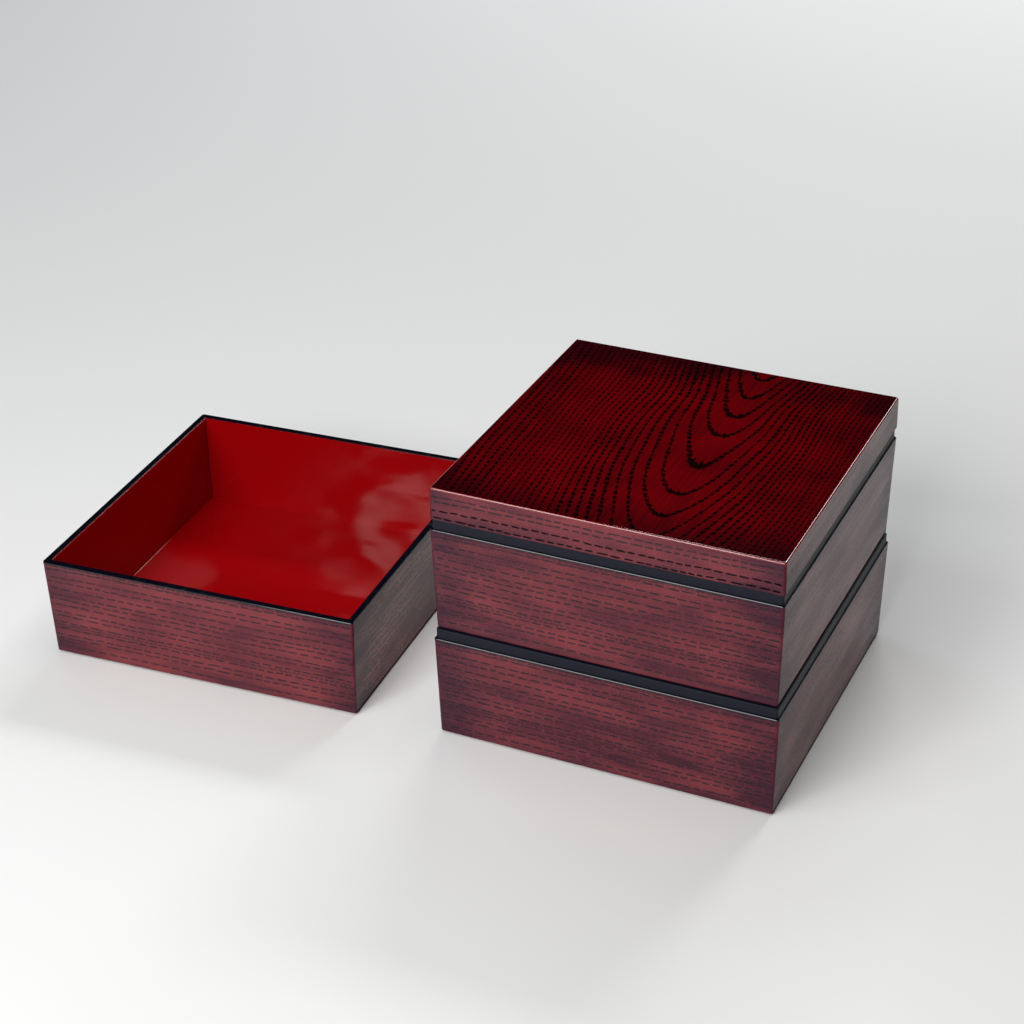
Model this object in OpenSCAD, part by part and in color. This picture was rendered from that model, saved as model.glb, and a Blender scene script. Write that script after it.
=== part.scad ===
// Three-tier lacquer-look food box (jubako): two tiers stacked under black inner
// lids and an outer lid, and the third tier standing open beside them.
// Millimetres, +Z up. The origin is on the table, at the middle of the whole set.

/* [Tier] */
// Outside width of a tier across its rim, the box's nominal size
tier_w = 150; // [120:5:200]
// Height of a tier from the table to the top of its rim
tier_h = 47.6; // [35:0.1:75]
// How much narrower each side gets from the rim down to the wall's lower edge
wall_draft = 1.1; // [0:0.1:2]
// Radius of the upright outer corners
corner_r = 1.2; // [0.6:0.1:3]
// Thickness of the grained outer shell
shell_t = 1.2; // [1:0.1:1.6]
// Thickness of the red liner's walls
liner_t = 1.2; // [1:0.1:1.6]
// Wall thickness over shell and liner together, at the mouth
wall_t = 3.4; // [3.2:0.1:5]
// Draft of the liner from the mouth to its floor, on each side
liner_draft = 0.6; // [0:0.1:0.8]
// Radius inside the liner, between walls and floor
liner_r = 1; // [1:0.5:6]

/* [Rim] */
// Width of the black rim frame's flat top
rim_w = 3; // [2.6:0.1:4]
// Thickness of the rim frame, which is the black edge seen from outside
rim_t = 0.6; // [0.5:0.1:2]
// Thickness of the tongue that sits between shell and liner
tongue_t = 0.7; // [0.5:0.1:0.8]
// Depth of the tongue below the frame
tongue_h = 3.5; // [2:0.5:6]

/* [Base] */
// Thickness of the base plate that closes the shell
base_t = 1.2; // [1:0.1:2]
// Height of the foot ring under the base plate
foot_h = 1; // [0.9:0.1:2]
// Width of the foot ring
foot_w = 1.8; // [1.5:0.1:3]
// How far the foot ring stands in from the wall's lower edge
foot_inset = 1.45; // [1.3:0.05:3]

/* [Inner lid] */
// Height of the black band that shows above a rim
band_h = 4.6; // [4.2:0.1:8]
// How far the band is set in from the rim's outer edge
band_inset = 0.75; // [0.3:0.05:1.5]
// Thickness of the inner lid's top plate and skirts
inner_lid_t = 1.5; // [1.2:0.1:2]
// Depth of the plug that goes down into the tier's mouth
plug_h = 4; // [3.5:0.5:8]
// Gap between the plug and the tier's liner, which the seal bridges
plug_gap = 1.2; // [0.8:0.1:2]
// Play left between the seal's lips and the liner
seal_gap = 0.25; // [0.1:0.05:0.4]
// Height of the raised panel that centres the piece standing on top
panel_rise = 0.8; // [0.4:0.1:0.8]

/* [Outer lid] */
// Height of the outer lid
lid_h = 14.6; // [11:0.1:30]
// Thickness of the outer lid's grained shell
lid_shell_t = 1.5; // [1.2:0.1:2]
// Thickness of the outer lid's red liner
lid_liner_t = 1.3; // [1.2:0.1:1.5]
// Radius of the outer lid's upper edges and upright corners
lid_edge_r = 1; // [0.6:0.1:2]
// Height of the drawn-in lower edge
lid_bevel_h = 0.4; // [0.2:0.1:2]
// How far the lower edge is drawn in
lid_bevel_in = 0.3; // [0.2:0.05:1]
// How far the outer lid stands in from the rim's outer edge
lid_inset = 0.15; // [0:0.05:0.5]

/* [Loose tier] */
// Distance from the stack's middle to the loose tier's middle, to the left
loose_left = 190.4; // [180:0.1:400]
// Distance from the stack's middle to the loose tier's middle, to the front
loose_front = 8.3; // [0:0.1:60]
// Turn of the loose tier, in degrees
loose_turn = 3.4; // [0:0.1:10]

/* [Hidden] */
$fn = 32;
// Thin slice that a hull starts or ends with
slice = 0.01;
// Assembly gap between pieces of one body
gap = 0.05;
// Running gap between pieces that lift apart
lift_gap = 0.3;
// Radius of the nearly sharp corners inside the frames
sharp_r = 0.4;

// Half widths of a tier, each named after the face it places
rim_outer = tier_w / 2;
rim_inner = rim_outer - rim_w;
shell_top = rim_outer - gap;
shell_low = shell_top - wall_draft;
liner_top = rim_outer - wall_t;
liner_low = liner_top - liner_draft;
tongue_outer = shell_top - shell_t - 3 * gap;
foot_outer = shell_low - foot_inset;
foot_inner = foot_outer - foot_w;

// Heights within a tier
rim_bottom = tier_h - rim_t;
base_top = foot_h + base_t;
liner_bottom = base_top + 2 * gap;
floor_top = liner_bottom + liner_t;
lip_drop = 0.4;
liner_lip = tier_h - lip_drop;

// Half widths of an inner lid and its seal
band_outer = rim_outer - band_inset;
band_inner = min(band_outer - inner_lid_t, foot_outer);
plug_outer = liner_top - plug_gap;
plug_inner = plug_outer - inner_lid_t;
groove_depth = 0.5;
groove_outer = plug_outer - groove_depth;
groove_r = liner_r - groove_depth;
seal_outer = liner_top - seal_gap;
seal_body = plug_outer + 0.2;
panel_half = foot_inner - lift_gap;

// Heights of the seal groove, counted down from the rim, and of the lips on the seal
groove_land = 0.8;
groove_low = groove_land - plug_h;
groove_high = -groove_land;
lip_t = 0.5;

// Half widths of the outer lid, and the heights of its liner
lid_half = rim_outer - lid_inset;
lid_draft = 0.15;
lid_top_half = lid_half - lid_draft;
lid_low_half = lid_half - lid_bevel_in;
lid_hollow_half = lid_half - lid_shell_t;
lid_liner_inner = panel_half + lift_gap + 2 * gap;
lid_liner_outer = lid_liner_inner + lid_liner_t;
lid_edge_t = 1.4;
lid_flange_outer = lid_low_half - lid_edge_t;
lid_flange_h = 1.2;
lid_liner_h = lid_h - lid_shell_t - 4 * gap;

// Heights of the pieces in the stack
lower_lid_z = tier_h;
upper_tier_z = lower_lid_z + band_h;
upper_lid_z = upper_tier_z + tier_h;
outer_lid_z = upper_lid_z + band_h;

// Reach of the turned loose tier from its middle, and the middle of the whole set
loose_reach = (rim_outer - corner_r) * (cos(loose_turn) + sin(loose_turn)) + corner_r;
set_x = (rim_outer - loose_left - loose_reach) / 2;
set_y = (max(rim_outer, loose_reach - loose_front)
    - max(rim_outer, loose_reach + loose_front)) / 2;

grain_red = [0.42, 0.07, 0.09];
liner_red = [0.55, 0.01, 0.02];
gloss_black = [0.03, 0.03, 0.035];
satin_black = [0.11, 0.12, 0.14];
seal_grey = [0.75, 0.75, 0.72];

// Moves a piece to the four corners of a square with this half width
module at_corners(half) {
    for (x = [-half, half], y = [-half, half]) translate([x, y, 0]) children();
}

// Plan of a square with rounded corners
module plan(half, r) {
    square([2 * half, 2 * (half - r)], center = true);
    square([2 * (half - r), 2 * half], center = true);
    for (x = [r - half, half - r], y = [r - half, half - r]) {
        translate([x, y]) circle(r);
    }
}

// Upright block on a rounded square plan
module block(half, r, z0, z1) {
    translate([0, 0, z0]) linear_extrude(z1 - z0) plan(half, r);
}

// Square frame between two half widths, each with its own corner radius
module frame(outer, inner, outer_r, inner_r, z0, z1) {
    translate([0, 0, z0]) linear_extrude(z1 - z0) difference() {
        plan(outer, outer_r);
        plan(inner, inner_r);
    }
}

// Ball for a hull's corner, with a fine spindle so that the hull has its full height
module corner_ball(r) {
    sphere(r);
    cylinder(2 * r, slice, slice, center = true);
}

// Block whose sides lean from one half width to another
module leaning_block(low, high, r, z0, z1) {
    hull() {
        translate([0, 0, z0]) at_corners(low - r) cylinder(slice, r, r);
        translate([0, 0, z1 - slice]) at_corners(high - r) cylinder(slice, r, r);
    }
}

// Hollow of a liner: leaning walls and a floor with rounded edges
module liner_hollow(low, high, r, z0, z1) {
    hull() {
        translate([0, 0, z0 + r]) at_corners(low - r) corner_ball(r);
        translate([0, 0, z1]) at_corners(high - r) cylinder(slice, r, r);
    }
}

// Grained outer shell of a tier, open at the top and the bottom
module tier_shell() {
    color(grain_red) difference() {
        leaning_block(shell_low, shell_top, corner_r, foot_h, rim_bottom);
        leaning_block(shell_low - shell_t, shell_top - shell_t, corner_r / 2,
            foot_h - slice, rim_bottom + slice);
    }
}

// Red liner: the tray that holds the food, with a thin lip inside the rim
module tier_liner() {
    color(liner_red) difference() {
        leaning_block(liner_low + liner_t, liner_top + liner_t, liner_r + liner_t,
            liner_bottom, liner_lip);
        liner_hollow(liner_low, liner_top, liner_r, floor_top, tier_h);
        frame(rim_outer, rim_inner - gap, corner_r, sharp_r, rim_bottom - gap, tier_h);
    }
}

// Black rim frame: flat top, and a tongue that spaces shell and liner
module tier_rim() {
    color(gloss_black) {
        frame(rim_outer, rim_inner, corner_r, sharp_r, rim_bottom, tier_h);
        frame(tongue_outer, tongue_outer - tongue_t, corner_r / 2, sharp_r,
            rim_bottom - tongue_h, rim_bottom);
    }
}

// Base plate inside the shell's lower edge, with the foot ring below it
module tier_base() {
    color(gloss_black) {
        block(shell_low - shell_t - gap, corner_r / 2, foot_h, base_top);
        frame(foot_outer, foot_inner, corner_r, sharp_r, 0, foot_h);
    }
}

// Black inner lid, drawn with its band standing at height zero
module inner_lid() {
    color(satin_black) {
        frame(band_outer, band_inner, corner_r, sharp_r, 0, band_h);
        frame(band_outer, panel_half - inner_lid_t, corner_r, sharp_r, band_h - inner_lid_t, band_h);
        block(panel_half, corner_r, band_h + panel_rise - inner_lid_t, band_h + panel_rise);
        difference() {
            frame(plug_outer, plug_inner, liner_r, sharp_r, -plug_h, band_h - inner_lid_t);
            frame(plug_outer + 1, groove_outer, liner_r, groove_r, groove_low, groove_high);
        }
    }
}

// Seal ring in the plug's groove, with two soft lips towards the tier's liner
module seal() {
    color(seal_grey) {
        frame(seal_body, groove_outer, liner_r, groove_r, groove_low, groove_high);
        frame(seal_outer, groove_outer, liner_r, groove_r, groove_low, groove_low + lip_t);
        frame(seal_outer, groove_outer, liner_r, groove_r, groove_high - lip_t, groove_high);
    }
}

// Grained shell of the outer lid: rounded top edges, lower edge drawn in
module lid_shell() {
    color(grain_red) difference() {
        union() {
            hull() {
                translate([0, 0, lid_bevel_h]) at_corners(lid_half - lid_edge_r)
                    cylinder(slice, lid_edge_r, lid_edge_r);
                translate([0, 0, lid_h - lid_edge_r]) at_corners(lid_top_half - lid_edge_r)
                    corner_ball(lid_edge_r);
            }
            leaning_block(lid_low_half, lid_half, lid_edge_r, 0, lid_bevel_h + slice);
        }
        block(lid_flange_outer + gap, lid_edge_r, -slice, lid_flange_h + gap);
        block(lid_hollow_half, lid_edge_r, lid_flange_h, lid_h - lid_shell_t);
    }
}

// Red liner of the outer lid, with a flange that closes the shell's lower edge
module lid_liner() {
    color(liner_red) difference() {
        union() {
            block(lid_liner_outer, liner_r, 0, lid_liner_h);
            block(lid_flange_outer, lid_edge_r, 0, lid_flange_h);
        }
        mirror([0, 0, 1]) liner_hollow(lid_liner_inner, lid_liner_inner, liner_r,
            lid_liner_t - lid_liner_h, slice);
    }
}

// Places for a piece of the stack and of the loose tier
module in_stack(z = 0) {
    translate([-set_x, -set_y, z]) children();
}

module beside_stack() {
    translate([-set_x - loose_left, -set_y - loose_front, 0]) rotate(loose_turn) children();
}

in_stack() tier_shell();  // lower_shell
in_stack() tier_liner();  // lower_liner
in_stack() tier_rim();  // lower_rim
in_stack() tier_base();  // lower_base
in_stack(upper_tier_z) tier_shell();  // upper_shell
in_stack(upper_tier_z) tier_liner();  // upper_liner
in_stack(upper_tier_z) tier_rim();  // upper_rim
in_stack(upper_tier_z) tier_base();  // upper_base
beside_stack() tier_shell();  // loose_shell
beside_stack() tier_liner();  // loose_liner
beside_stack() tier_rim();  // loose_rim
beside_stack() tier_base();  // loose_base
in_stack(lower_lid_z) inner_lid();  // lower_inner_lid
in_stack(lower_lid_z) seal();  // lower_seal
in_stack(upper_lid_z) inner_lid();  // upper_inner_lid
in_stack(upper_lid_z) seal();  // upper_seal
in_stack(outer_lid_z) lid_shell();
in_stack(outer_lid_z) lid_liner();
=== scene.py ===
"""Looks of a three-tier stacking food box: two tiers under an outer lid, and one tier open beside them.

Every piece is a profile swept round a rounded square, in millimetres from the middle of its own tier
or lid, and then placed in the frame in metres. Materials are written as formulas over each face's own
coordinates, so that the grain follows the faces, the turned loose tier among them.
"""

import math
from collections import namedtuple

import bmesh
import bpy
from mathutils import Matrix, Vector

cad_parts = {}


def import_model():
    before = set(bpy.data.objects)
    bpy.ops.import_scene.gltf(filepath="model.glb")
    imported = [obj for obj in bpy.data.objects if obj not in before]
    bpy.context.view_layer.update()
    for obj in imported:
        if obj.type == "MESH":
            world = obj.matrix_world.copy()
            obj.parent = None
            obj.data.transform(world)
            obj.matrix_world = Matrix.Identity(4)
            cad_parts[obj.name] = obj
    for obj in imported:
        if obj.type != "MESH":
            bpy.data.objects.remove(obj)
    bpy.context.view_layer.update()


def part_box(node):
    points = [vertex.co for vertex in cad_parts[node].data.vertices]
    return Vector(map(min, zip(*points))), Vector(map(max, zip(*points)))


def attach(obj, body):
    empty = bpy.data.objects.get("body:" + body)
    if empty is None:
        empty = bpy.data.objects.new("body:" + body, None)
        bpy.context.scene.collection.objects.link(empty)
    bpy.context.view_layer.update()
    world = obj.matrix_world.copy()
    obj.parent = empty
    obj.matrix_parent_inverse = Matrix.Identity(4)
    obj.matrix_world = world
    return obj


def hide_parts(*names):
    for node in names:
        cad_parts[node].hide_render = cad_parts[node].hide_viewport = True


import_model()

MM = 0.001

# ---------------------------------------------------------------- dimensions, in millimetres

TIER_HALF = 75.0            # half the width over the rim
TIER_H = 47.6               # foot to the top of the rim
CORNER_R = 1.2              # upright outer corners
WALL_TOP = 74.95            # half width of the shell under the rim
WALL_LOW = 73.85            # half width of the shell at its lower edge
WALL_T = 1.2                # shell thickness
FOOT_H = 1.0                # height of the foot ring under the shell
RIM_IN = 72.0               # half width inside the rim frame
RIM_BOTTOM = 47.0           # lower face of the rim frame
LINER_TOP = 71.6            # half width inside the liner at its mouth
LINER_LOW = 71.0            # and at its floor
LINER_T = 1.2               # liner thickness
LINER_R = 1.0               # between walls and floor
FLOOR_Z = 3.5               # top of the liner's floor
BAND_HALF = 74.25           # half width of an inner lid's band
BAND_H = 4.6                # and its height
PLUG_OUT = 70.4             # half width of the plug that goes into the mouth
PLUG_H = 4.0                # and its depth below the band
GROOVE_HALF = 69.9          # half width of the plug inside the seal's groove
GROOVE_LOW = -3.2           # the groove's edges, from the band's lower edge
GROOVE_HIGH = -0.8
LID_HALF = 74.85            # half width of the outer lid just above its drawn-in lower edge
LID_TOP_HALF = 74.7         # half width under the rounding of its upper edges
LID_LOW_HALF = 74.55        # half width at its lower edge
LID_H = 14.6
LID_EDGE_R = 0.85           # rounding of the outer lid's upper edges
LID_BEVEL_H = 0.4           # height over which its lower edge is drawn in
SHELL_IN_R = 0.6            # upright inner corners of shells
RIM_IN_R = 0.4              # upright inner corners of rim frames and of inner lids
GROOVE_R = 0.5              # upright corners of the seal's groove
ROW_PITCH = 3.05            # between rows of dashes up a wall

SIDE_STEPS = 24             # mesh steps along a straight side
ARC_STEPS = 6               # mesh steps round a corner
FILLET_STEPS = 5            # mesh steps round an edge
PLATE_INSET = 6.0           # a flat plate's mesh starts this far inside its edge
LEAST_CORNER_R = 0.02       # every upright corner keeps a trace of rounding
SHARP_ANGLE = math.radians(40)


# ---------------------------------------------------------------- places, from the frame

def centre_of(node):
    low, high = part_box(node)
    return (low + high) / 2


def turn_of(node, half, corner_r):
    """The angle that a square rim is turned by, from how much wider its box is than the square."""
    low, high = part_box(node)
    reach = (high.x - low.x) / 2
    ratio = (reach - corner_r * MM) / ((half - corner_r) * MM)
    return math.asin(min(1.0, ratio * ratio - 1)) / 2


def place_on(centre, z, turn=0.0):
    """Matrix from a piece's own millimetres to the frame."""
    move = Matrix.Translation((centre.x, centre.y, z))
    return move @ Matrix.Rotation(turn, 4, "Z") @ Matrix.Scale(MM, 4)


stack = centre_of("lower_rim")
loose = centre_of("loose_rim")
loose_turn = turn_of("loose_rim", TIER_HALF, CORNER_R)

TIER_PLACES = {
    "lower": place_on(stack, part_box("lower_base")[0].z),
    "upper": place_on(stack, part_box("upper_base")[0].z),
    "loose": place_on(loose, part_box("loose_base")[0].z, loose_turn),
}
INNER_LID_PLACES = {
    "lower": place_on(stack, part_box("lower_inner_lid")[0].z + PLUG_H * MM),
    "upper": place_on(stack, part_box("upper_inner_lid")[0].z + PLUG_H * MM),
}
LID_PLACE = place_on(stack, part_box("lid_shell")[0].z)


# ---------------------------------------------------------------- swept meshes

Corner = namedtuple("Corner", "half z round core")
Station = namedtuple("Station", "half z core")


def corner(half, z, edge_r=0.0, corner_r=CORNER_R):
    """One corner of a profile: half width, height, edge rounding, and the radius of the plan's corners."""
    return Corner(half, z, edge_r, half - corner_r)


def rounded(corners, closed):
    """Stations of a profile whose corners are rounded by arcs."""
    stations = []
    count = len(corners)
    for i, here in enumerate(corners):
        at_end = not closed and i in (0, count - 1)
        if at_end or here.round == 0:
            stations.append(Station(here.half, here.z, here.core))
            continue
        before = corners[i - 1]
        after = corners[(i + 1) % count]
        stations.extend(arc(before, here, after))
    return stations


def arc(before, here, after):
    """Stations along the arc that rounds one corner of a profile."""
    point = Vector((here.half, here.z))
    to_before = (Vector((before.half, before.z)) - point).normalized()
    to_after = (Vector((after.half, after.z)) - point).normalized()
    opening = to_before.angle(to_after)
    reach = here.round / math.tan(opening / 2)
    middle = point + (to_before + to_after).normalized() * (here.round / math.sin(opening / 2))
    start = point + to_before * reach - middle
    end = point + to_after * reach - middle
    sweep_angle = start.angle_signed(end)
    found = []
    for k in range(FILLET_STEPS + 1):
        turned = Matrix.Rotation(-sweep_angle * k / FILLET_STEPS, 2) @ start + middle
        found.append(Station(turned.x, turned.y, here.core))
    return found


def core_of(station):
    """Half the straight length of a station's sides."""
    return min(station.core, station.half - LEAST_CORNER_R)


def ring(station):
    """Points and face coordinates round a rounded square, from the front side anticlockwise."""
    core = core_of(station)
    radius = station.half - core
    found = []
    for side in range(4):
        turn = Matrix.Rotation(side * math.pi / 2, 2)
        for k in range(SIDE_STEPS + 1):
            along = core * (2 * k / SIDE_STEPS - 1)
            found.append((turn @ Vector((along, -station.half)), side, along))
        for k in range(1, ARC_STEPS):
            angle = math.pi / 2 * k / ARC_STEPS
            point = Vector((core + radius * math.sin(angle), -core - radius * math.cos(angle)))
            share = 2 * k / ARC_STEPS
            if share <= 1:
                found.append((turn @ point, side, core + share * radius))
            else:
                found.append((turn @ point, side + 1, -core - (2 - share) * radius))
    return found


def face_u(side, along):
    """Distance round the box in millimetres: each side is one tier width, with its middle at half."""
    return (side * 2 + 1) * TIER_HALF + along


class Builder:
    """Collects the rings, walls and plates of one swept piece."""

    def __init__(self):
        self.mesh = bmesh.new()
        self.uv = self.mesh.loops.layers.uv.new("grain")

    def add_ring(self, station):
        return [(self.mesh.verts.new((p.x, p.y, station.z)), s, a) for p, s, a in ring(station)]

    def wall(self, low, high, z_low, z_high):
        """Quads between two rings, with the distance round and the height as face coordinates."""
        count = len(low)
        for i in range(count):
            j = (i + 1) % count
            quad = (low[i], low[j], high[j], high[i])
            heights = (z_low, z_low, z_high, z_high)
            face = self.mesh.faces.new([v for v, _, _ in quad])
            us = [face_u(s, a) for _, s, a in quad]
            if max(us) - min(us) > 2 * TIER_HALF:
                us = [u + 8 * TIER_HALF if u < 4 * TIER_HALF else u for u in us]
            for loop, u, v in zip(face.loops, us, heights):
                loop[self.uv].uv = (u, v)

    def plate(self, border, station):
        """Closes a ring with a grid, four strips beside it and a fan in each corner."""
        core = core_of(station)
        step = 2 * core / SIDE_STEPS
        grid = [
            [self.mesh.verts.new((-core + i * step, -core + j * step, station.z))
             for i in range(SIDE_STEPS + 1)]
            for j in range(SIDE_STEPS + 1)
        ]
        for j in range(SIDE_STEPS):
            for i in range(SIDE_STEPS):
                self.flat(grid[j][i], grid[j][i + 1], grid[j + 1][i + 1], grid[j + 1][i])
        last = SIDE_STEPS
        edges = (
            [grid[0][k] for k in range(last + 1)],
            [grid[k][last] for k in range(last + 1)],
            [grid[last][last - k] for k in range(last + 1)],
            [grid[last - k][0] for k in range(last + 1)],
        )
        per_side = SIDE_STEPS + ARC_STEPS
        for side, inner in enumerate(edges):
            outer = [border[(side * per_side + k) % len(border)][0] for k in range(per_side + 1)]
            for k in range(last):
                self.flat(outer[k], outer[k + 1], inner[k + 1], inner[k])
            for k in range(last, per_side):
                self.flat(outer[k], outer[k + 1], inner[last])

    def flat(self, *verts):
        """One face of a plate, with its place in plan as face coordinates."""
        face = self.mesh.faces.new(verts)
        for loop in face.loops:
            loop[self.uv].uv = loop.vert.co.xy

    def object(self, name, place, materials, top_from):
        """The finished object. Faces whose middle is above top_from take the second material."""
        bmesh.ops.recalc_face_normals(self.mesh, faces=self.mesh.faces[:])
        for face in self.mesh.faces:
            face.smooth = True
            if top_from is not None and face.calc_center_median().z > top_from:
                face.material_index = 1
                for loop in face.loops:
                    loop[self.uv].uv = loop.vert.co.xy
        self.mesh.transform(place)
        data = bpy.data.meshes.new(name)
        self.mesh.to_mesh(data)
        self.mesh.free()
        data.set_sharp_from_angle(angle=SHARP_ANGLE)
        for material in materials:
            data.materials.append(material)
        made = bpy.data.objects.new(name, data)
        bpy.context.scene.collection.objects.link(made)
        shading = made.modifiers.new("flat faces stay flat", "WEIGHTED_NORMAL")
        shading.keep_sharp = True
        shading.weight = 100
        return made


def swept(name, corners, place, materials, closed=True, top_from=None):
    """A piece swept round the box: a closed profile gives a frame, an open one is closed by plates."""
    stations = rounded(corners, closed)
    builder = Builder()
    rings = [builder.add_ring(s) for s in stations]
    pairs = list(zip(range(len(rings) - 1), range(1, len(rings))))
    if closed:
        pairs.append((len(rings) - 1, 0))
    for i, j in pairs:
        builder.wall(rings[i], rings[j], stations[i].z, stations[j].z)
    if not closed:
        builder.plate(rings[0], stations[0])
        builder.plate(rings[-1], stations[-1])
    return builder.object(name, place, materials, top_from)


# ---------------------------------------------------------------- material formulas

class Number:
    """A value in a material's node tree. Plain arithmetic on it adds math nodes."""

    def __init__(self, graph, socket):
        self.graph = graph
        self.socket = socket

    def __add__(self, other):
        return self.graph.math("ADD", self, other)

    __radd__ = __add__

    def __sub__(self, other):
        return self.graph.math("SUBTRACT", self, other)

    def __rsub__(self, other):
        return self.graph.math("SUBTRACT", other, self)

    def __mul__(self, other):
        return self.graph.math("MULTIPLY", self, other)

    __rmul__ = __mul__

    def __truediv__(self, other):
        return self.graph.math("DIVIDE", self, other)

    def floor(self):
        return self.graph.math("FLOOR", self)

    def fract(self):
        return self.graph.math("FRACT", self)

    def size(self):
        return self.graph.math("ABSOLUTE", self)

    def root(self):
        return self.graph.math("SQRT", self)

    def least(self, other):
        return self.graph.math("MINIMUM", self, other)

    def most(self, other):
        return self.graph.math("MAXIMUM", self, other)


class Graph:
    """Writes one material's node tree."""

    def __init__(self, name):
        self.material = bpy.data.materials.new(name)
        self.material.use_nodes = True
        self.tree = self.material.node_tree
        self.tree.nodes.clear()

    def node(self, kind, **settings):
        made = self.tree.nodes.new(kind)
        for key, value in settings.items():
            setattr(made, key, value)
        return made

    def feed(self, socket, value):
        if isinstance(value, Number):
            self.tree.links.new(value.socket, socket)
        else:
            socket.default_value = value

    def math(self, operation, *values):
        made = self.node("ShaderNodeMath", operation=operation)
        for socket, value in zip(made.inputs, values):
            self.feed(socket, value)
        return Number(self, made.outputs[0])

    def face_place(self):
        """The face coordinates in millimetres: across and up a wall, or the plan of a plate."""
        uv = self.node("ShaderNodeUVMap", uv_map="grain")
        split = self.node("ShaderNodeSeparateXYZ")
        self.tree.links.new(uv.outputs[0], split.inputs[0])
        return Number(self, split.outputs[0]), Number(self, split.outputs[1])

    def at(self, x, y, z=0.0):
        """A place for a noise to be read at."""
        joined = self.node("ShaderNodeCombineXYZ")
        for socket, value in zip(joined.inputs, (x, y, z)):
            self.feed(socket, value)
        return Number(self, joined.outputs[0])

    def noise(self, place, detail=2.0, roughness=0.5):
        """Smooth noise from 0 to 1 whose lumps are about one unit across."""
        made = self.node("ShaderNodeTexNoise")
        self.feed(made.inputs["Vector"], place)
        made.inputs["Scale"].default_value = 1.0
        made.inputs["Detail"].default_value = detail
        made.inputs["Roughness"].default_value = roughness
        return Number(self, made.outputs[0])

    def chance(self, place):
        """A random number from 0 to 1 for each different place."""
        made = self.node("ShaderNodeTexWhiteNoise", noise_dimensions="3D")
        self.feed(made.inputs["Vector"], place)
        return Number(self, made.outputs["Value"])

    def ramp(self, value, low, high):
        """0 at low, 1 at high, smooth between them. Low may be the larger one."""
        made = self.node("ShaderNodeMapRange", interpolation_type="SMOOTHSTEP", clamp=True)
        self.feed(made.inputs["Value"], value)
        if low < high:
            ends = (low, high, 0.0, 1.0)
        else:
            ends = (high, low, 1.0, 0.0)
        for socket, end in zip(("From Min", "From Max", "To Min", "To Max"), ends):
            made.inputs[socket].default_value = end
        return Number(self, made.outputs["Result"])

    def blend(self, share, first, second):
        """A colour between two colours. A Mix node has these at inputs 6 and 7 and output 2."""
        made = self.node("ShaderNodeMix", data_type="RGBA")
        self.feed(made.inputs[0], share)
        self.feed(made.inputs[6], first)
        self.feed(made.inputs[7], second)
        return Number(self, made.outputs[2])

    def surface(self, colour, roughness, height=None, depth=0.0, coat=None, coat_rough=0.05,
                coat_ior=1.5, specular=0.5, waves=None, waves_depth=0.0):
        """The shader. Height bends the coloured layer and waves the clear coat; depths in millimetres."""
        shader = self.node("ShaderNodeBsdfPrincipled")
        self.feed(shader.inputs["Base Color"], colour)
        self.feed(shader.inputs["Roughness"], roughness)
        shader.inputs["Specular IOR Level"].default_value = specular
        if coat is not None:
            self.feed(shader.inputs["Coat Weight"], coat)
            shader.inputs["Coat Roughness"].default_value = coat_rough
            shader.inputs["Coat IOR"].default_value = coat_ior
        if height is not None:
            relief = self.bump(height, depth)
            self.tree.links.new(relief, shader.inputs["Normal"])
        if waves is not None:
            self.tree.links.new(self.bump(waves, waves_depth), shader.inputs["Coat Normal"])
        output = self.node("ShaderNodeOutputMaterial")
        self.tree.links.new(shader.outputs[0], output.inputs[0])
        return self.material

    def bump(self, height, depth):
        """A normal bent by a height from 0 to 1 that stands for a depth in millimetres."""
        made = self.node("ShaderNodeBump")
        made.inputs["Distance"].default_value = depth * MM
        self.feed(made.inputs["Height"], height)
        return made.outputs[0]


def colour(red, green, blue):
    return (red, green, blue, 1.0)


# ---------------------------------------------------------------- materials

# The walls' green and blue grow from the dark colour to the bright one: painted sheen, a reflection made
# stronger where the lacquer is bright.
LACQUER_BRIGHT_AND_SHEEN = colour(0.212, 0.0220, 0.0285)      # walls; the green and blue are partly the lacquer's own and partly painted sheen, the gloss's reflection of the pale floor
LACQUER_DARK = colour(0.041, 0.0022, 0.0150)
PORE_SOFT = colour(0.012, 0.0050, 0.0120)
PORE_CRISP = colour(0.003, 0.0020, 0.0030)
TOP_BRIGHT = colour(0.172, 0.0003, 0.0020)          # lid top, polished clear
TOP_DARK = colour(0.030, 0.0004, 0.0022)
TOP_PORE = colour(0.0020, 0.0006, 0.0008)


def dash_rows(g, across, up, pitch, length, seed):
    """Rows of short dashes along the grain, each row with its own shift: 1 on a dash."""
    sway = (g.noise(g.at(across / 45.0, up / 12.0, seed), detail=0.0) - 0.5) * 1.1
    level = (up + sway) / pitch
    row = level.floor()
    shift = (g.chance(g.at(row, seed)) - 0.5) * 0.5
    lean = g.noise(g.at(across / 30.0, row * 7.3, seed + 4.0), detail=0.0) * 3.0
    cell_place = across / length + g.chance(g.at(row, seed + 1.0)) * 60.0 + lean
    cell = cell_place.floor()
    along = cell_place.fract()
    own = g.chance(g.at(cell, row, seed + 2.0))
    stray = g.chance(g.at(cell, row, seed + 3.0)) - 0.5
    reach = 0.66 + own * 0.24
    start = g.ramp(along, 0.0, 0.07)
    stop = 1.0 - g.ramp(along - reach, 0.0, 0.07)
    off_row = stray * 0.35 + (along - 0.4) * stray * 0.6
    from_middle = ((level.fract() - 0.5 - shift) * pitch + off_row).size()
    taper = ((along - reach * 0.5) / reach).size()
    uneven = (g.noise(g.at(across * 1.6, up * 1.2, seed)) - 0.5) * 0.26
    thick = g.ramp(from_middle + uneven + taper * taper * 0.45 + own * 0.06, 0.54, 0.34)
    return start * stop * thick


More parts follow.
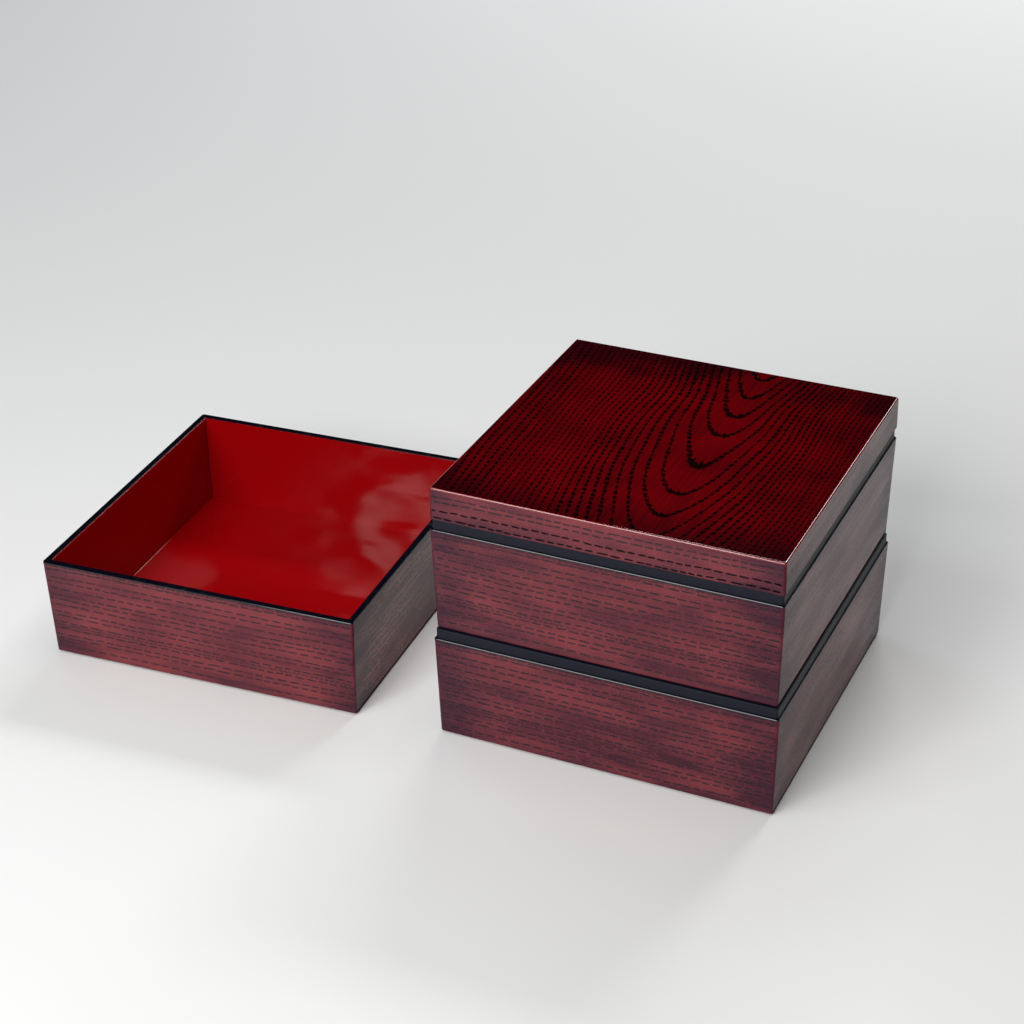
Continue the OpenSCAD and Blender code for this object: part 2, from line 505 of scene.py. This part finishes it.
def wall_pores(g, across, up, wall_h, here, crisp_below):
    """Dashes of a wall. A tier has tight rows under the rim and a third of the way up as well."""
    tier_dash, tight_dash, lid_dash = 5.3, 2.4, 4.4
    tight_pitch, lid_row_z = 0.95, 0.5
    if crisp_below is not None:
        return dash_rows(g, across, up - lid_row_z, ROW_PITCH, lid_dash, here)
    pores = dash_rows(g, across, up, ROW_PITCH, tier_dash, here)
    tight = dash_rows(g, across, up, tight_pitch, tight_dash, here + 9.0)
    under_rim = g.ramp(up, wall_h - 2.8, wall_h - 1.8)
    third = g.ramp((up - wall_h * 0.33).size(), 0.9, 0.5)
    return pores.most(tight * under_rim.most(third) * 0.8)


def wall_shade(g, across, up, clouds, fine, streaks, front_or_back):
    """How dark the walls are before the painted light and shade of their tone: clouds, streaks, fine
    marks, and darker ends.
    """
    ends = g.ramp(across.size(), 48.0, 73.0)
    low_edge = g.ramp(up, 9.0, 1.0)
    shade = (clouds - 0.5) * 1.6 + (streaks - 0.5) * 0.3 + (fine - 0.5) * (front_or_back * 0.55 + 0.25)
    return shade + ends * 0.36 + low_edge * 0.14 + 0.50


def wall_grain(name, wall_h, seed, painted_light_tone=0.0, crisp_below=None):
    """Red lacquer over grain that runs round the walls, dark in clouds and towards the ends.

    On the front and back, where front_or_back is 1, the tone is painted light and shade: a higher tone
    darkens them for a tier that gets less light, a lower one lightens them for a tier that gets more.
    There, pores below crisp_below are open in the clear coat too. The other two sides are smoother.
    """
    g = Graph(name)
    around, up = g.face_place()
    side_w = 2 * TIER_HALF
    side = (around / side_w).floor()
    across = around - side * side_w - TIER_HALF
    here = g.chance(g.at(side, 3.0)) * 40.0
    drift = g.chance(g.at(side, seed)) * 40.0
    front_or_back = 1.0 - (side / 2.0).fract() * 2.0

    clouds = g.noise(g.at(across / 34.0, up / 9.0, drift), detail=2.0, roughness=0.5)
    streaks = g.noise(g.at(across / 14.0, up / 1.1, drift), detail=1.0)
    fine = g.noise(g.at(across * 1.4, up * 2.4, drift), detail=1.0)
    faint = 1.0 - g.ramp(clouds, 0.52, 0.72) * 0.55
    rubbed = g.ramp(across.size(), 73.6, 74.0)
    if crisp_below is None:
        crisp = 0.0
        # On the two sides of a tier: a painted shadow darkens the lower edge, and the coat is thinned
        # there to paint a dark reflection.
        painted_foot_shadow = g.ramp(up, 2.3, 1.7) * (1.0 - front_or_back)
        rubbed = rubbed.most(g.ramp(up, 1.75, 1.45) * front_or_back)
    else:
        crisp = g.ramp(up, crisp_below + 0.3, crisp_below - 0.3) * front_or_back
        painted_foot_shadow = 0.0
        faint = faint.most(crisp)

    shade = wall_shade(g, across, up, clouds, fine, streaks, front_or_back)
    # Painted light and shade: the tier's tone, and the painted shadow along the sides' lower edge.
    shade = (shade + front_or_back * painted_light_tone + painted_foot_shadow * 0.4).most(0.0).least(1.0)
    pores = wall_pores(g, across, up, wall_h, here, crisp_below) * faint * (1.0 - rubbed)
    base = g.blend(shade, LACQUER_BRIGHT_AND_SHEEN, LACQUER_DARK)
    shown = g.blend(rubbed * 0.12, base, LACQUER_BRIGHT_AND_SHEEN)
    ink = g.blend(crisp, PORE_SOFT, PORE_CRISP)
    shown = g.blend(pores * (crisp * 0.10 + 0.88), shown, ink)

    coat = 1.0 - shade * 0.32 - pores * (crisp * 0.5 + 0.16) - rubbed * 0.4
    # Thinning the coat along the sides' lower edge paints a dark reflection there.
    coat = coat - (fine - 0.5) * (front_or_back * 0.16 + 0.06) - painted_foot_shadow * 0.6
    coat = coat.most(0.0).least(1.0)
    ripple = g.noise(g.at(across / 16.0, up / 10.0, here), detail=0.0)
    return g.surface(shown, 0.5, height=1.0 - pores, depth=0.004, coat=coat, coat_rough=0.25, specular=0.0,
                     waves=ripple, waves_depth=0.01)


def arch_pores(g, x, y):
    """Lines of flat-sawn grain: nested arches whose tips point to the front, and dashed lines beside."""
    axis_x, arch_step, line_step = 17.0, 18.2, 3.1

    column = (x / 0.48).floor()
    stroke = g.chance(g.at(column, 3.0)) - 0.5
    reach = g.chance(g.at(column, 8.0))
    wander = (g.noise(g.at(x / 4.0, y / 12.0, 2.0), detail=1.0) - 0.5) * 0.9
    lean = (g.noise(g.at(x / 40.0, y / 60.0, 5.0), detail=0.0) - 0.5) * 4.0
    offset = x - axis_x + y * 0.02 + wander + lean * g.ramp((x - axis_x).size(), 12.0, 50.0)
    right_side = g.ramp(offset, -2.0, 2.0)
    from_axis = offset.size() * (right_side * 0.2 + 1.0)

    near = g.ramp(from_axis, 76.0, 24.0)
    arch_round = g.ramp(y, 50.0, 0.0) * 15.0 * near + 14.0
    slant = (from_axis * from_axis + arch_round * arch_round).root()
    gap = g.ramp(y, 14.0, -38.0) * 0.9
    fade = near * 0.75 + 0.25
    rings = (slant - arch_round) / line_step - ((y + stroke * 1.2 + 6.1) / arch_step + gap) * fade
    line = (rings + 0.5).floor()
    nearness = (rings + 0.5).fract() - 0.5

    across_rate = from_axis / (slant * line_step)
    rate = (across_rate * across_rate + 1.0 / (arch_step * arch_step)).root()
    distance = nearness.size() / rate
    tip = g.ramp(from_axis, 12.0, 2.0)
    flank = g.ramp(from_axis, 56.0, 24.0)
    bold = g.ramp(g.chance(g.at(line, 11.0)), 0.55, 0.9)
    width = tip * (reach * 0.8 + 0.2) + flank * 0.18 + bold * 0.16 + 0.42
    ragged = (g.noise(g.at(x * 1.9, y * 0.6, 1.0), detail=1.0) - 0.5) * (flank * 0.9 + 0.4)
    swelling = (g.noise(g.at(y / 2.2, line * 3.7, 12.0), detail=0.0) - 0.5) * flank * 1.3
    drawn = g.ramp(distance + ragged + swelling - width, 0.12, -0.12)

    own = g.chance(g.at(line, 7.0))
    drift = g.noise(g.at(y / 9.0, line * 3.1), detail=0.0)
    dash_place = (y / (3.2 + own * 0.4) + own * 40.0 + drift).fract()
    dashes = g.ramp((dash_place - 0.5).size(), 0.38, 0.31)
    return drawn * dashes.most(flank * 0.45).most(tip)


def top_shade(g, x, y):
    """How dark the top's lacquer is: cloudy, streaked along the grain, darker towards its edges."""
    streaks = g.noise(g.at(x / 1.3, y / 36.0, 3.0), detail=2.0)
    clouds = g.noise(g.at(x / 30.0, y / 22.0, 6.0), detail=1.0) - 0.5
    back_edge = g.ramp(y + clouds * 34.0, 44.0, 72.0)
    front_edge = g.ramp(y + clouds * 30.0, -46.0, -80.0)
    sides = g.ramp(x.size(), 40.0, 78.0)
    leftward = g.ramp(x, 30.0, -60.0) * 0.5 + 0.5
    shade = clouds * 0.7 + (streaks - 0.5) * 0.9 + back_edge * leftward * 0.62 + front_edge * 0.5
    return (shade + sides * 0.30 + 0.42).most(0.0).least(1.0)


def lid_grain():
    """Red lacquer over flat-sawn grain, polished clear."""
    g = Graph("grain_red_top")
    x, y = g.face_place()
    pores = arch_pores(g, x, y)
    shade = top_shade(g, x, y)
    base = g.blend(shade, TOP_BRIGHT, TOP_DARK)
    edge = g.ramp(x.size().most(y.size()), LID_TOP_HALF - 0.8, LID_TOP_HALF - 0.6)
    pores = pores * (1.0 - edge)
    shown = g.blend(pores * 0.96, g.blend(edge, base, TOP_BRIGHT), TOP_PORE)

    ripple = g.noise(g.at(x / 14.0, y / 14.0, 9.0), detail=1.0)
    return g.surface(shown, 0.5, height=1.0 - pores, depth=0.01, coat=1.0 - pores * 0.3, coat_rough=0.03,
                     coat_ior=1.65, specular=0.0, waves=ripple, waves_depth=0.01)


def red_gloss():
    """Vermilion gloss inside the tiers: faint clouding, a moulded surface uneven towards the right.

    Round the walls, x runs on from the front left corner. The back wall's left part and the left
    wall lie past back_left, and stay even.
    """
    g = Graph("red_gloss")
    x, y = g.face_place()
    clouds = g.noise(g.at(x / 30.0, y / 30.0, 1.0), detail=3.0)
    shown = g.blend(clouds, colour(0.285, 0.0006, 0.0018), colour(0.325, 0.0008, 0.0024))
    floor_left, floor_right = -45.0, -5.0
    back_left, back_right = 388.0, 362.0
    uneven = g.ramp(x, floor_left, floor_right) * g.ramp(x, back_left, back_right)
    swell = (g.noise(g.at(x / 25.0, y / 17.0, 21.2), detail=0.0) - 0.5) * uneven
    rough = 0.11 + clouds * 0.03
    return g.surface(shown, rough, height=swell, depth=1.15, specular=0.5)


def rim_black():
    """Black gloss of the rim frames, with a few dull handling marks."""
    g = Graph("rim_black")
    x, y = g.face_place()
    marks = g.ramp(g.noise(g.at(x / 5.0, y / 2.0, 3.0), detail=4.0), 0.50, 0.72)
    shown = g.blend(marks, colour(0.0025, 0.0022, 0.0060), colour(0.0050, 0.0048, 0.0085))
    uneven = g.noise(g.at(x / 3.0, y / 3.0, 7.0), detail=2.0)
    return g.surface(shown, 0.10 + marks * 0.12, height=uneven, depth=0.005, specular=0.45)


def satin_black(name, tint, gloss):
    """Moulded satin black with a fine even texture."""
    g = Graph(name)
    x, y = g.face_place()
    fine = g.noise(g.at(x * 2.2, y * 2.2, 5.0), detail=2.0)
    wear = g.ramp(g.noise(g.at(x / 14.0, y / 3.0, 6.0), detail=3.0), 0.45, 0.75)
    shown = g.blend(wear * 0.5 + fine * 0.3, tint, colour(tint[0] * 1.7, tint[1] * 1.7, tint[2] * 1.7))
    return g.surface(shown, gloss + fine * 0.10 + wear * 0.05, height=fine, depth=0.02, specular=0.22)


def seal_rubber():
    """Pale silicone seal with a dusty bloom."""
    g = Graph("seal_grey")
    x, y = g.face_place()
    bloom = g.noise(g.at(x / 6.0, y / 2.0, 2.0), detail=4.0)
    shown = g.blend(bloom, colour(0.50, 0.50, 0.47), colour(0.62, 0.62, 0.59))
    return g.surface(shown, 0.42 + bloom * 0.15, height=bloom, depth=0.05, specular=0.35)


# Tones are painted light and shade: the lower tier darker, the loose tier and the lid's walls lighter, as
# light falls on them.
WALL_GRAIN = {
    tier: wall_grain("grain_red_" + tier, RIM_BOTTOM, seed, painted_light_tone)
    for seed, (tier, painted_light_tone) in enumerate((("lower", 0.08), ("upper", 0.0), ("loose", -0.14)), start=1)
}
LID_WALL_GRAIN = wall_grain("grain_red_lid", LID_H, 5, painted_light_tone=-0.06, crisp_below=6.1)
LID_TOP_GRAIN = lid_grain()
RED_GLOSS = red_gloss()
RIM_BLACK = rim_black()
BASE_BLACK = satin_black("base_black", colour(0.006, 0.006, 0.007), 0.35)
INNER_LID_BLACK = satin_black("inner_lid_black", colour(0.0040, 0.0050, 0.0125), 0.46)
SEAL_GREY = seal_rubber()


# ---------------------------------------------------------------- the pieces

def finish_piece(piece, body, node):
    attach(piece, body)
    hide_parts(node)


def tier_shell(tier):
    """Grained outer wall, open above and below."""
    corners = [
        corner(WALL_LOW, FOOT_H, 0.35),
        corner(WALL_TOP, RIM_BOTTOM, 0.03),
        corner(WALL_TOP - WALL_T, RIM_BOTTOM, 0.03, SHELL_IN_R),
        corner(WALL_LOW - WALL_T, FOOT_H, 0.3, SHELL_IN_R),
    ]
    return swept(tier + "_wall", corners, TIER_PLACES[tier], [WALL_GRAIN[tier]])


def tier_rim(tier):
    """Black frame round the mouth, with the tongue that sits between wall and liner."""
    tongue_out, tongue_in, tongue_z = 73.6, 72.9, RIM_BOTTOM - 3.5
    bevel_h, bevel_w = 0.22, 0.14
    corners = [
        corner(TIER_HALF, RIM_BOTTOM, 0.03),
        corner(TIER_HALF, TIER_H - bevel_h, 0.04),
        corner(TIER_HALF - bevel_w, TIER_H, 0.04),
        corner(RIM_IN, TIER_H, 0.06, RIM_IN_R),
        corner(RIM_IN, RIM_BOTTOM, 0.05, RIM_IN_R),
        corner(tongue_in, RIM_BOTTOM, 0.0, RIM_IN_R),
        corner(tongue_in, tongue_z, 0.15, RIM_IN_R),
        corner(tongue_out, tongue_z, 0.15, SHELL_IN_R),
        corner(tongue_out, RIM_BOTTOM, 0.0, SHELL_IN_R),
    ]
    return swept(tier + "_rim_frame", corners, TIER_PLACES[tier], [RIM_BLACK])


def tier_liner(tier):
    """Red tray: floor, walls and the thin lip inside the rim."""
    lip_z = TIER_H - 0.25
    under_rim_z = RIM_BOTTOM - 0.05
    lip_out, lip_r = RIM_IN - 0.05, 0.45
    floor_from = LINER_LOW - 4.0
    bottom_z = FLOOR_Z - LINER_T
    outer_r = LINER_R + LINER_T
    inner_r = LINER_R * 0.14
    corners = [
        corner(floor_from, FLOOR_Z, 0.0, inner_r),
        corner(LINER_LOW, FLOOR_Z, inner_r, inner_r + 0.02),
        corner(LINER_TOP, lip_z, 0.05, inner_r),
        corner(lip_out, lip_z, 0.05, lip_r),
        corner(lip_out, under_rim_z, 0.0, lip_r),
        corner(LINER_TOP + LINER_T, under_rim_z, 0.1, outer_r),
        corner(LINER_LOW + LINER_T, bottom_z, outer_r - 0.3, outer_r),
        corner(floor_from, bottom_z, 0.0, LINER_R),
    ]
    return swept(tier + "_tray", corners, TIER_PLACES[tier], [RED_GLOSS], closed=False)


def tier_base(tier):
    """Plate under the tray with a foot ring below it."""
    plate_out, foot_out, foot_in, plate_top = 72.6, 72.4, 70.6, 2.2
    corners = [
        corner(plate_out - PLATE_INSET, plate_top, 0.0, SHELL_IN_R),
        corner(plate_out, plate_top, 0.3, SHELL_IN_R),
        corner(plate_out, FOOT_H, 0.08, SHELL_IN_R),
        corner(foot_out, FOOT_H, 0.0, CORNER_R),
        corner(foot_out, 0.0, 0.25, CORNER_R),
        corner(foot_in, 0.0, 0.25, SHELL_IN_R),
        corner(foot_in, FOOT_H, 0.2, SHELL_IN_R),
        corner(foot_in - PLATE_INSET, FOOT_H, 0.0, SHELL_IN_R),
    ]
    return swept(tier + "_foot", corners, TIER_PLACES[tier], [BASE_BLACK], closed=False)


def inner_lid(tier):
    """Black lid between pieces: band, top plate, raised panel and plug with its groove."""
    band_in, panel, plate_t = 72.4, 70.3, 1.5
    plate_top, panel_top = BAND_H, BAND_H + 0.8
    plug_in = PLUG_OUT - plate_t
    corners = [
        corner(panel - PLATE_INSET, panel_top, 0.0, CORNER_R),
        corner(panel, panel_top, 0.3, CORNER_R),
        corner(panel, plate_top, 0.1, CORNER_R),
        corner(BAND_HALF, plate_top, 0.3),
        corner(BAND_HALF, 0.0, 0.15),
        corner(band_in, 0.0, 0.15, RIM_IN_R),
        corner(band_in, plate_top - plate_t, 0.2, RIM_IN_R),
        corner(PLUG_OUT, plate_top - plate_t, 0.2, LINER_R),
        corner(PLUG_OUT, GROOVE_HIGH, 0.1, LINER_R),
        corner(GROOVE_HALF, GROOVE_HIGH, 0.0, GROOVE_R),
        corner(GROOVE_HALF, GROOVE_LOW, 0.0, GROOVE_R),
        corner(PLUG_OUT, GROOVE_LOW, 0.1, LINER_R),
        corner(PLUG_OUT, -PLUG_H, 0.3, LINER_R),
        corner(plug_in, -PLUG_H, 0.3, RIM_IN_R),
        corner(plug_in, panel_top - plate_t, 0.3, RIM_IN_R),
        corner(plug_in - PLATE_INSET, panel_top - plate_t, 0.0, RIM_IN_R),
    ]
    return swept(tier + "_middle_lid", corners, INNER_LID_PLACES[tier], [INNER_LID_BLACK], closed=False)


def seal_ring(tier):
    """Soft ring in the plug's groove with two lips."""
    body, tip, lip = 70.6, 71.35, 0.5
    corners = [
        corner(GROOVE_HALF, GROOVE_LOW, 0.0, GROOVE_R),
        corner(tip, GROOVE_LOW, 0.15, LINER_R),
        corner(tip, GROOVE_LOW + lip, 0.15, LINER_R),
        corner(body, GROOVE_LOW + lip, 0.15, LINER_R),
        corner(body, GROOVE_HIGH - lip, 0.15, LINER_R),
        corner(tip, GROOVE_HIGH - lip, 0.15, LINER_R),
        corner(tip, GROOVE_HIGH, 0.15, LINER_R),
        corner(GROOVE_HALF, GROOVE_HIGH, 0.0, GROOVE_R),
    ]
    return swept(tier + "_seal_ring", corners, INNER_LID_PLACES[tier], [SEAL_GREY])


def lid_shell():
    """Grained outer lid: rounded upper edges, lower edge drawn in, a small step inside for the lining."""
    step_in, step_z, hollow, hollow_top = 73.15, 1.25, 73.35, LID_H - 1.5
    edge_corner = 1.0
    corners = [
        corner(hollow - PLATE_INSET, hollow_top, 0.0, SHELL_IN_R),
        corner(hollow, hollow_top, 0.4, SHELL_IN_R),
        corner(hollow, step_z, 0.0, SHELL_IN_R),
        corner(step_in, step_z, 0.0, SHELL_IN_R),
        corner(step_in, 0.0, 0.15, SHELL_IN_R),
        corner(LID_LOW_HALF, 0.0, 0.25, edge_corner),
        corner(LID_HALF, LID_BEVEL_H, 0.6, edge_corner),
        corner(LID_TOP_HALF, LID_H, LID_EDGE_R, edge_corner),
        corner(LID_TOP_HALF - PLATE_INSET, LID_H, 0.0, edge_corner),
    ]
    grains = [LID_WALL_GRAIN, LID_TOP_GRAIN]
    rounding_low = LID_H - 0.97 * LID_EDGE_R
    return swept("lid_cover", corners, LID_PLACE, grains, closed=False, top_from=rounding_low)


def lid_liner():
    """Red lining of the outer lid, with the flange that closes the cover's lower edge."""
    inside, outside, flange, flange_h = 70.7, 72.0, 73.1, 1.2
    ceiling, top = 11.6, 12.9
    corners = [
        corner(inside - PLATE_INSET, ceiling, 0.0, LINER_R),
        corner(inside, ceiling, LINER_R, LINER_R + 0.02),
        corner(inside, 0.0, 0.25, LINER_R),
        corner(flange, 0.0, 0.25, LINER_R),
        corner(flange, flange_h, 0.1, LINER_R),
        corner(outside, flange_h, 0.2, LINER_R),
        corner(outside, top, 0.5, LINER_R),
        corner(outside - PLATE_INSET, top, 0.0, LINER_R),
    ]
    return swept("lid_lining", corners, LID_PLACE, [RED_GLOSS], closed=False)


for tier in TIER_PLACES:
    body = tier + "_tier"
    finish_piece(tier_shell(tier), body, tier + "_shell")
    finish_piece(tier_rim(tier), body, tier + "_rim")
    finish_piece(tier_liner(tier), body, tier + "_liner")
    finish_piece(tier_base(tier), body, tier + "_base")

for tier in INNER_LID_PLACES:
    body = tier + "_inner_lid"
    finish_piece(inner_lid(tier), body, tier + "_inner_lid")
    finish_piece(seal_ring(tier), body, tier + "_seal")

finish_piece(lid_shell(), "outer_lid", "lid_shell")
finish_piece(lid_liner(), "outer_lid", "lid_liner")


# ---------------------------------------------------------------- floor, lights and camera

def floor_material():
    """Pale matte board."""
    g = Graph("floor_board")
    place = g.node("ShaderNodeTexCoord").outputs["Object"]
    mottled = g.noise(Number(g, place), detail=2.0)
    shown = g.blend(mottled, colour(0.80, 0.80, 0.79), colour(0.82, 0.82, 0.815))
    return g.surface(shown, 0.7, specular=0.2)


def circle(mesh, radius, z, turns):
    """Points round the middle of the floor, anticlockwise."""
    angles = [2 * math.pi * k / turns for k in range(turns)]
    return [mesh.verts.new((radius * math.cos(a), radius * math.sin(a), z)) for a in angles]


def floor():
    """Round pale floor that curves up into a low wall far from the object."""
    flat_r, wall_r, bend_r = 3.0, 4.6, 1.6
    wall_top, bend_steps, turns = 1.7, 12, 96
    outline = [(0.5, 0.0), (1.5, 0.0), (flat_r, 0.0)]
    for k in range(1, bend_steps + 1):
        angle = math.pi / 2 * k / bend_steps
        outline.append((flat_r + bend_r * math.sin(angle), bend_r * (1 - math.cos(angle))))
    outline.append((wall_r, wall_top))
    mesh = bmesh.new()
    middle = mesh.verts.new((0.0, 0.0, 0.0))
    circles = [circle(mesh, r, z, turns) for r, z in outline]
    for i in range(turns):
        j = (i + 1) % turns
        mesh.faces.new((middle, circles[0][i], circles[0][j]))
        for inner, outer in zip(circles, circles[1:]):
            mesh.faces.new((inner[i], outer[i], outer[j], inner[j]))
    for face in mesh.faces:
        face.smooth = True
    data = bpy.data.meshes.new("floor")
    mesh.to_mesh(data)
    mesh.free()
    data.materials.append(floor_material())
    made = bpy.data.objects.new("floor", data)
    bpy.context.scene.collection.objects.link(made)


def softbox(name, place, target, width, height, radiance, tint):
    """Rectangular soft lamp facing a target. Radiance is how bright its face is."""
    data = bpy.data.lights.new(name, "AREA")
    data.shape = "RECTANGLE"
    data.size = width
    data.size_y = height
    data.energy = radiance * math.pi * width * height
    data.color = tint
    lamp = bpy.data.objects.new(name, data)
    lamp.location = place
    lamp.rotation_euler = (Vector(place) - Vector(target)).to_track_quat("Z", "Y").to_euler()
    lamp.visible_camera = False
    bpy.context.scene.collection.objects.link(lamp)


def world():
    """Surroundings that are nearly black, so that only the softboxes light the scene."""
    made = bpy.data.worlds.new("studio")
    made.use_nodes = True
    background = made.node_tree.nodes["Background"]
    background.inputs["Color"].default_value = colour(0.9, 0.95, 1.0)
    background.inputs["Strength"].default_value = 0.004
    bpy.context.scene.world = made


def camera():
    """Long lens looking from the front right, about thirty degrees above the table."""
    azimuth, elevation, roll = math.radians(25.1), math.radians(29.8), math.radians(-1.01)
    aim, distance = Vector((0.0102, 0.0358, 0.050)), 1.0216
    back = Vector((math.sin(azimuth) * math.cos(elevation), -math.cos(azimuth) * math.cos(elevation),
                   math.sin(elevation)))
    data = bpy.data.cameras.new("camera")
    data.lens = 79.56
    data.sensor_width = 36.0
    data.clip_start = 0.05
    data.clip_end = 50.0
    made = bpy.data.objects.new("camera", data)
    made.location = aim + back * distance
    upright = (-back).to_track_quat("-Z", "Y").to_matrix()
    made.rotation_euler = (upright @ Matrix.Rotation(roll, 3, "Z")).to_euler()
    bpy.context.scene.collection.objects.link(made)
    bpy.context.scene.camera = made


floor()
# Each lamp: place and target, width and height in metres, brightness, tint.
softbox("front", (-0.11, -1.21, 0.88), (0.0, 0.0, 0.03), 0.95, 0.60, 10.3, (1.0, 0.995, 0.985))
softbox("front_left", (-0.20, -0.42, 0.85), (-0.20, -0.42, 0.0), 0.3, 0.3, 6.5, (0.985, 0.995, 1.0))
softbox("overhead", (0.25, 0.0, 1.40), (0.25, 0.0, 0.0), 0.8, 0.6, 1.5, (1.0, 0.995, 0.97))
softbox("back", (0.0, 1.70, 1.50), (0.0, 1.55, 0.0), 1.3, 0.4, 14.1, (0.985, 0.99, 1.0))
softbox("edge", (0.40, 1.80, 1.22), (0.15, 0.0, 0.1), 0.42, 0.36, 9.0, (1.0, 0.99, 0.985))
softbox("left", (-1.05, 0.70, 1.50), (-0.75, 0.70, 0.0), 0.6, 0.6, 2.6, (0.72, 0.86, 1.0))
world()
camera()
bpy.context.scene.view_settings.view_transform = "Standard"
